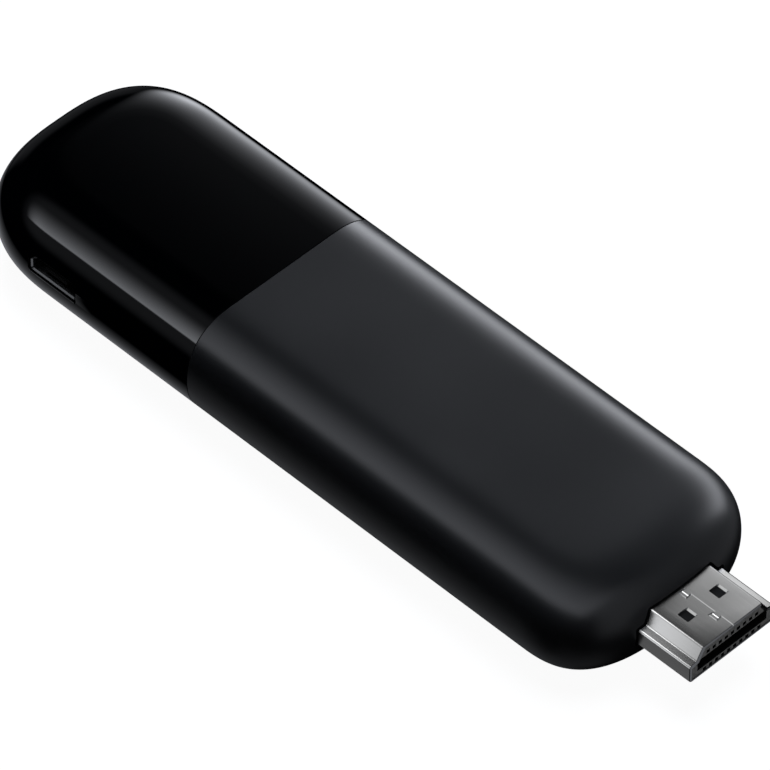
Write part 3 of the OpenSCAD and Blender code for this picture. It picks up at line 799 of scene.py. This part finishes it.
def tinned_steel(name):
    """Tin plate: flat crystals that differ a little in brightness, and fine scratches."""
    mat, tree, shader = new_material(name)
    shader.inputs["Metallic"].default_value = 1.0
    haze = object_noise(tree, 500, 5)
    tree.links.new(ramp(tree, haze.outputs["Fac"], 0.26, 0.40), shader.inputs["Roughness"])
    spangle = add_node(tree, "ShaderNodeTexVoronoi", Scale=700.0, feature="F1")
    link_object_space(tree, spangle)
    tone = ramp(tree, spangle.outputs["Distance"], (0.54, 0.54, 0.52), (0.70, 0.70, 0.68), (0.1, 0.8))
    tree.links.new(tone, shader.inputs["Base Color"])
    add_relief(tree, shader, 3000, 4, 0.1, 0.005 * MM, (1, 0.06, 1))
    return mat


# The slots whose finish needs more than a row of the table
OWN_FINISHES = {
    "carrier_plastic": carrier_plastic, "board_laminate": board_laminate, "tinned_steel": tinned_steel,
}
REBUILT = ("gloss_end_cap", "matte_sleeve", "hdmi_plug_shell", "micro_usb_shell", "ceramic_capacitors")
EDGE_BREAK = 0.04 * MM
EDGE_BREAK_SHARP = math.radians(40)


def finish_cad_parts():
    """Gives each kept CAD part the material of its slot and breaks its sharp edges."""
    made = {}
    for part in frame["record"]["subparts"]:
        name, slot = part["node"], part["material_slot"]
        if name in REBUILT:
            continue
        if slot not in made:
            made[slot] = OWN_FINISHES.get(slot, drifting)(slot)
        obj = NODES[name]
        obj.data.materials.clear()
        obj.data.materials.append(made[slot])
        weld = obj.modifiers.new("weld", "WELD")
        weld.merge_threshold = WELD
        bevel = obj.modifiers.new("edge_break", "BEVEL")
        bevel.width = EDGE_BREAK
        bevel.segments = 2
        bevel.limit_method = "ANGLE"
        bevel.angle_limit = EDGE_BREAK_SHARP
        bevel.use_clamp_overlap = True


# ---------- stage ----------

def area_light(name, centre, look_at, size, radiance, colour, **visible):
    """A rectangular light of this radiance, whose first side is level and whose second side stands up."""
    data = bpy.data.lights.new(name, "AREA")
    data.shape = "RECTANGLE"
    data.size, data.size_y = size
    data.color = colour
    data.energy = radiance * math.pi * size[0] * size[1]
    light = new_object(name, data)
    light.location = centre
    light.rotation_mode = "QUATERNION"
    light.rotation_quaternion = (Vector(look_at) - Vector(centre)).to_track_quat("-Z", "Y")
    light.visible_camera = False
    for key, value in visible.items():
        setattr(light, key, value)
    return light


# The lights: tints, places, sizes, and how far the fills and the cards stand from what they aim at
TOP_TINT = (0.9, 0.97, 1.08)
TOP_PLACE = (-0.12, 0.2, 0.7)
TOP_SIZE = (0.6, 0.6)
FILL_TINT = (0.55, 0.85, 1.3)
FILL_SIZE = (0.6, 0.4)
FILL_REACH = 0.7
CARD_TINT = (0.97, 1.0, 1.07)
CARD_REACH = 0.3
PLUG_CARD_REACH = 0.08
UP = Vector((0, 0, 1))
# Where a level face mirrors the camera's view, for each metre of height above it
MIRROR_WAY = Vector((-0.663, 0.668, 1))

# The camera, as fitted to the outline, the seam and the plug's corners
CAMERA_PLAN = math.radians(44.788)
CAMERA_RISE = math.radians(46.742)
CAMERA_ROLL = math.radians(0.342)
CAMERA_DISTANCE = 1084.45 * MM
CAMERA_TARGET = Vector((-4.8475, 5.266, 0)) * MM
CAMERA_LENS = 429.1
CAMERA_SENSOR = 36
CAMERA_CLIP = (0.01, 20)

FLOOR_HALF = 6.0
FLOOR_GREY = (0.9, 0.9, 0.9, 1)
FLOOR_GLOW = 0.95


def make_camera():
    data = bpy.data.cameras.new("camera")
    data.lens = CAMERA_LENS
    data.sensor_width = CAMERA_SENSOR
    data.clip_start, data.clip_end = CAMERA_CLIP
    cam = new_object("camera", data)
    back = Vector((
        math.sin(CAMERA_PLAN) * math.cos(CAMERA_RISE),
        -math.cos(CAMERA_PLAN) * math.cos(CAMERA_RISE),
        math.sin(CAMERA_RISE),
    ))
    cam.location = CAMERA_TARGET + back * CAMERA_DISTANCE
    aim = (-back).to_track_quat("-Z", "Y").to_matrix()
    cam.rotation_euler = (aim @ Matrix.Rotation(CAMERA_ROLL, 3, "Z")).to_euler()
    bpy.context.scene.camera = cam


def make_floor():
    """A pale floor that glows, but neither lights the pieces nor shows in their reflections."""
    size = FLOOR_HALF
    corners = [(-size, -size, 0), (size, -size, 0), (size, size, 0), (-size, size, 0)]
    mesh = bpy.data.meshes.new("floor")
    mesh.from_pydata(corners, [], [(0, 1, 2, 3)])
    floor = new_object("floor", mesh)
    mat, _, shader = new_material("pale_floor")
    shader.inputs["Base Color"].default_value = FLOOR_GREY
    shader.inputs["Roughness"].default_value = 0.9
    shader.inputs["Emission Color"].default_value = (1, 1, 1, 1)
    shader.inputs["Emission Strength"].default_value = FLOOR_GLOW
    mesh.materials.append(mat)
    floor.visible_glossy = False
    floor.visible_diffuse = False
    floor.visible_shadow = False
    floor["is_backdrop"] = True


def make_world():
    """A white backdrop, which neither lights the pieces nor shows in their reflections."""
    world = bpy.data.worlds.new("studio")
    bpy.context.scene.world = world
    world.use_nodes = True
    backdrop = world.node_tree.nodes["Background"]
    backdrop.inputs["Color"].default_value = (1, 1, 1, 1)
    backdrop.inputs["Strength"].default_value = 1.0
    world.cycles_visibility.diffuse = False
    world.cycles_visibility.glossy = False
    bpy.context.scene.view_settings.view_transform = "Standard"


def maths(tree, operation, a, b=None):
    """A math node on numbers or sockets, and its output."""
    node = add_node(tree, "ShaderNodeMath", operation=operation)
    for socket, value in zip(node.inputs, (a, b)):
        if isinstance(value, (int, float)):
            socket.default_value = value
        elif value is not None:
            tree.links.new(value, socket)
    return node.outputs[0]


def fade(tree, value, start, end):
    """Rises smoothly from 0 at start to 1 at end, and start may be the larger one."""
    node = add_node(tree, "ShaderNodeMapRange", interpolation_type="SMOOTHSTEP")
    for name, number in (("From Min", start), ("From Max", end)):
        node.inputs[name].default_value = number
    tree.links.new(value, node.inputs["Value"])
    return node.outputs["Result"]


def toward(target, plan, lift, reach):
    """The place at this distance from target, at these plan and lift angles in degrees."""
    plan, lift = math.radians(plan), math.radians(lift)
    way = Vector((math.cos(plan) * math.cos(lift), math.sin(plan) * math.cos(lift), math.sin(lift)))
    return Vector(target) + way * reach


def light_only(light, receivers):
    """Lets this light reach the receivers alone."""
    group = bpy.data.collections.new(light.name + "_reach")
    for obj in receivers:
        group.objects.link(obj)
    light.light_linking.receiver_collection = group


def card(name, centre, look_at, size, peak, shape, receivers, tint=(1, 1, 1)):
    """A soft box for reflections only, with a graded brightness, which reaches the receivers alone.

    shape(tree, along, up) gives the brightness share from the places along and up the card, from 0 to 1.
    """
    light = area_light(name, centre, look_at, size, 1.0, tint, visible_diffuse=False)
    light.data.use_nodes = True
    tree = light.data.node_tree
    split = add_node(tree, "ShaderNodeSeparateXYZ")
    tree.links.new(add_node(tree, "ShaderNodeNewGeometry").outputs["Parametric"], split.inputs["Vector"])
    share = shape(tree, split.outputs["X"], split.outputs["Y"])
    tree.links.new(maths(tree, "MULTIPLY", share, peak), tree.nodes["Emission"].inputs["Strength"])
    light_only(light, receivers)


def strip_shape(edge, power, square, end, lift=None):
    """Brightest just above a soft lower edge, fading upwards and towards one end.

    lift, where given, is (share, start, end): all but this share comes only past that stretch.
    """
    def shape(tree, along, up):
        inner = maths(tree, "MULTIPLY", up, up) if square else up
        body = maths(tree, "POWER", maths(tree, "SUBTRACT", 1.0, inner), power)
        body = maths(tree, "MULTIPLY", body, fade(tree, up, *edge))
        if lift:
            rise = maths(tree, "MULTIPLY", fade(tree, along, *lift[1:]), 1 - lift[0])
            body = maths(tree, "MULTIPLY", body, maths(tree, "ADD", rise, lift[0]))
        return maths(tree, "MULTIPLY", body, fade(tree, along, *end))
    return shape


def slope_shape(tree, along, up):
    """Rises from one long side to the other, and fades out at its ends and just past the top."""
    body = maths(tree, "MULTIPLY", fade(tree, up, 0.1, 0.7), fade(tree, up, 1.0, 0.75))
    body = maths(tree, "MULTIPLY", body, fade(tree, along, 0.0, 0.3))
    return maths(tree, "MULTIPLY", body, fade(tree, along, 1.0, 0.75))


def round_shape(tree, along, up):
    """Brightest in the middle, falling evenly to nothing at the rim."""
    x, y = maths(tree, "SUBTRACT", along, 0.5), maths(tree, "SUBTRACT", up, 0.5)
    square = maths(tree, "ADD", maths(tree, "MULTIPLY", x, x), maths(tree, "MULTIPLY", y, y))
    off = maths(tree, "MULTIPLY", maths(tree, "SQRT", square), 2.0)
    return maths(tree, "MAXIMUM", maths(tree, "SUBTRACT", 1.0, off), 0.0)


def even_shape(tree, along, up):
    """Even, with soft edges."""
    out = maths(tree, "MULTIPLY", fade(tree, along, 0, 0.3), fade(tree, along, 1, 0.7))
    out = maths(tree, "MULTIPLY", out, fade(tree, up, 0, 0.3))
    return maths(tree, "MULTIPLY", out, fade(tree, up, 1, 0.7))


def span(reach, degrees):
    """Width at this distance that takes up this angle."""
    return 2 * reach * math.tan(math.radians(degrees / 2))


def make_lights(cap, sleeve, plug, socket):
    """A soft light from above, two weak fills, and a card for each reflection that the photo shows.

    Each card reaches only the pieces that it is meant for. The sleeve has cards of its own, because its
    plastic spreads what it mirrors.
    """
    middle = Vector((-0.15, 0, MID_Z))
    front = Vector((-0.05, 0, MID_Z))
    root = Vector(((PLUG_HI.x + X_NOSE) / 2, 0, PLUG_HI.z))
    insulator = NODES["hdmi_plug_insulator"]
    tongue = (NODES["micro_usb_tongue"], NODES["micro_usb_contacts"])
    others = [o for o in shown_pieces() if o not in (sleeve, plug, socket, *tongue)]

    area_light("top_light", TOP_PLACE, (0, 0, 0), TOP_SIZE, 0.66, TOP_TINT, visible_glossy=False)
    for name, radiance, receiver in (("cap_fill", 0.5, cap), ("sleeve_fill", 0.04, sleeve)):
        place = toward(middle, -110, 5, FILL_REACH)
        fill = area_light(name, place, middle, FILL_SIZE, radiance, FILL_TINT, visible_glossy=False)
        light_only(fill, [receiver])

    # Name, what the card aims at, its direction from there (plan and lift in degrees), its size (level
    # width in metres, upright angle in degrees), peak radiance, shape, receivers
    for name, target, plan, lift, size, peak, shape, receivers in (
        ("near_card", middle, -90, 46, (0.5, 50), 4.3,
         strip_shape((0, 0.08), 1.8, False, (0.08, 0.3), (0.72, 0.4, 0.46)), others),
        ("far_card", middle, 90, 18, (0.44, 88), 7.2,
         strip_shape((0.12, 0.45), 3.0, True, (0.98, 0.72), (0.55, 0.6, 0.72)), others),
        ("haze_card", middle, -90, 42, (0.6, 112), 0.15, even_shape, others),
        ("corner_card", middle, 144, -4, (0.35, 60), 0.07, even_shape, [cap]),
        ("near_card_matte", front, -90, 58, (0.9, 84), 2.3,
         strip_shape((0.14, 0.23), 1.15, False, (0.0, 0.2)), [sleeve]),
        ("far_card_matte", middle, 90, 22, (0.6, 56), 24.0,
         strip_shape((0.05, 0.75), 2.5, True, (1.0, 0.7), (0.5, 0.42, 0.72)), [sleeve]),
        ("nose_under_card", front, -28, -58, (0.3, 50), 0.08, even_shape, [sleeve]),
        ("front_card_matte", front, -2, 13, (0.25, 84), 0.38, even_shape, [sleeve]),
        ("nose_card_matte", middle, 34, 0, (0.36, 54), 0.24, even_shape, [sleeve]),
        ("under_card", middle, 170, -64, (span(CARD_REACH, 72), 72), 0.38, round_shape, [*others, plug]),
        ("under_card_matte", front, 207, -63, (span(CARD_REACH, 80), 80), 0.2, round_shape, [sleeve]),
        ("front_haze_card", middle, -10, 25, (0.36, 110), 0.14, even_shape, [cap]),
        ("front_fill_card", middle, -8, 8, (0.42, 116), 0.16, even_shape, [plug, insulator]),
        ("side_fill_card", middle, -86, -6, (0.17, 46), 0.6, even_shape, [socket, plug, insulator, *tongue]),
        ("socket_lip_card", middle, -102, 18, (0.16, 44), 0.36, even_shape, [socket]),
        ("socket_side_card", middle, -41, -35, (0.3, 50), 0.25, even_shape, [socket]),
        ("tongue_card", middle, -90, 50, (0.4, 50), 0.35, even_shape, tongue),
    ):
        wide, high = size[0], span(CARD_REACH, size[1])
        centre = toward(target, plan, lift, CARD_REACH)
        card(name, centre, target, (wide, high), peak, shape, receivers, CARD_TINT)

    # The square cards for the plug aim at the middle of its root: direction, angle across, peak, receiver
    for name, plan, lift, across, peak, receiver in (
        ("plug_slope_card", -119, 2, 50, 0.85, plug), ("plug_ledge_card", 168, 62, 30, 0.32, plug),
        ("plug_side_card", -132, -47, 50, 0.13, plug), ("plug_bend_card", -140, 55, 28, 2.6, plug),
        ("plug_far_card", 118, 25, 30, 1.15, plug), ("plug_seam_card", -124, 36, 40, 0.85, plug),
        ("plug_front_card", 45, -47, 60, 0.75, insulator),
    ):
        centre = toward(root, plan, lift, PLUG_CARD_REACH)
        card(name, centre, root, (span(PLUG_CARD_REACH, across),) * 2, peak, even_shape, [receiver])

    # Two level cards, where the flat tops of the cap and of the plug mirror the camera's view
    above_cap = Vector(((X_END + X_SEAM) / 2, 8 * MM, 2 * HALF_T)) + MIRROR_WAY * 0.06
    card("cap_glow_card", above_cap, above_cap - UP, (0.14, 0.06), 0.02, slope_shape, [cap], CARD_TINT)
    above_plug = root + Vector((0, 5 * MM, 0)) + MIRROR_WAY * 0.04
    card("plug_top_card", above_plug, above_plug - UP, (0.09, 0.045), 0.7, slope_shape, [plug])


make_camera()
make_world()
make_floor()
CAP = make_cap(drifting("gloss_black_plastic"))
SLEEVE = make_sleeve(drifting("matte_black_plastic"))
PLUG = make_plug_shell(drifting("plug_steel"))
SOCKET = make_socket_shell(drifting("socket_steel"))
finish_cad_parts()
make_capacitors(drifting("capacitor_ceramic"), tinned_steel("tinned_steel"))
make_lights(CAP, SLEEVE, PLUG, SOCKET)
